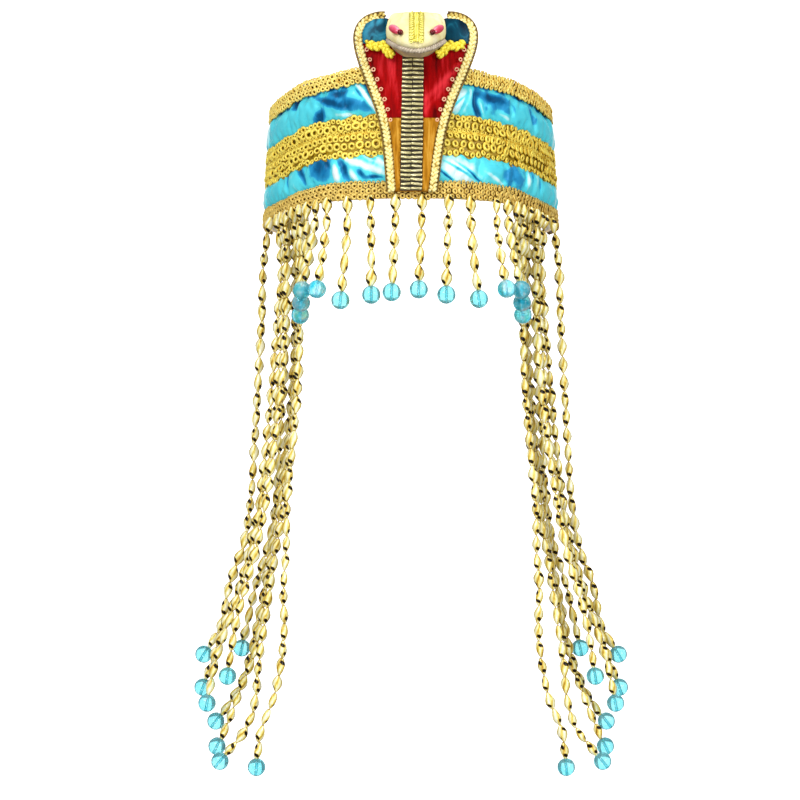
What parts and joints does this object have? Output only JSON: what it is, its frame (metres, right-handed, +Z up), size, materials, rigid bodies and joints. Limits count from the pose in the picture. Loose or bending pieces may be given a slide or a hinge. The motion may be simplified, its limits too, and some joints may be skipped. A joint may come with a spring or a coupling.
{
  "type": "snake headband",
  "caption": "Costume headband with a rearing cobra at the brow, braid-trimmed foil cloth band, short bead strings over the forehead and long bead strands beside the face.",
  "frame": {"origin": "middle of the head opening, level with the lower edge of the band at the brow", "axes": "+Z up along the wearer's head, -Y out of the face through the cobra, +X to the wearer's left"},
  "size_m": [0.2414, 0.2317, 0.4083],
  "materials": {
    "foil_cloth": "shiny foil-faced knit, turquoise",
    "gold_braid": "metallic gimp braid",
    "elastic": "woven elastic, matt",
    "red_satin": "red satin",
    "amber_satin": "amber satin",
    "blue_foil": "deep blue foil cloth",
    "yellow_piping": "yellow metallic piping",
    "edging_cord": "pale gold gimp cord with small loops",
    "bugle_beads": "silver-lined gold glass tubes, mirror-like",
    "gold_lame": "pale gold lame, stuffed",
    "silver_cord": "silver-grey twisted cord",
    "head_braid": "narrow yellow gold braid",
    "eye_plastic": "clear red plastic",
    "pupil_plastic": "dark red plastic bead",
    "gold_beads": "vacuum-plated gold plastic, mirror-like",
    "ball_plastic": "clear turquoise plastic ball"
  },
  "bodies": {
    "root": {"back_strap": "elastic", "band_cloth": "foil_cloth", "belly_strip": "bugle_beads", "braid_bottom": "gold_braid", "braid_middle_lower": "gold_braid", "braid_middle_upper": "gold_braid", "braid_top": "gold_braid", "brow_string_1": "gold_beads", "brow_string_10": "gold_beads", "brow_string_11": "gold_beads", "brow_string_12": "gold_beads", "brow_string_13": "gold_beads", "brow_string_14": "gold_beads", "brow_string_2": "gold_beads", "brow_string_3": "gold_beads", "brow_string_4": "gold_beads", "brow_string_5": "gold_beads", "brow_string_6": "gold_beads", "brow_string_7": "gold_beads", "brow_string_8": "gold_beads", "brow_string_9": "gold_beads", "eye_left": "eye_plastic", "eye_right": "eye_plastic", "head_braid": "head_braid", "hood_edging_left": "edging_cord", "hood_edging_right": "edging_cord", "hood_lobe_left": "blue_foil", "hood_lobe_right": "blue_foil", "hood_panel": "red_satin", "hood_scallop_left": "yellow_piping", "hood_scallop_right": "yellow_piping", "hood_throat_left": "amber_satin", "hood_throat_right": "amber_satin", "mouth_cord": "silver_cord", "pupil_left": "pupil_plastic", "pupil_right": "pupil_plastic", "snake_head": "gold_lame", "temple_strand_left_1": "gold_beads", "temple_strand_left_2": "gold_beads", "temple_strand_left_3": "gold_beads", "temple_strand_left_4": "gold_beads", "temple_strand_left_5": "gold_beads", "temple_strand_left_6": "gold_beads", "temple_strand_left_7": "gold_beads", "temple_strand_left_8": "gold_beads", "temple_strand_left_9": "gold_beads", "temple_strand_right_1": "gold_beads", "temple_strand_right_2": "gold_beads", "temple_strand_right_3": "gold_beads", "temple_strand_right_4": "gold_beads", "temple_strand_right_5": "gold_beads", "temple_strand_right_6": "gold_beads", "temple_strand_right_7": "gold_beads", "temple_strand_right_8": "gold_beads", "temple_strand_right_9": "gold_beads"}
  },
  "joints": []
}
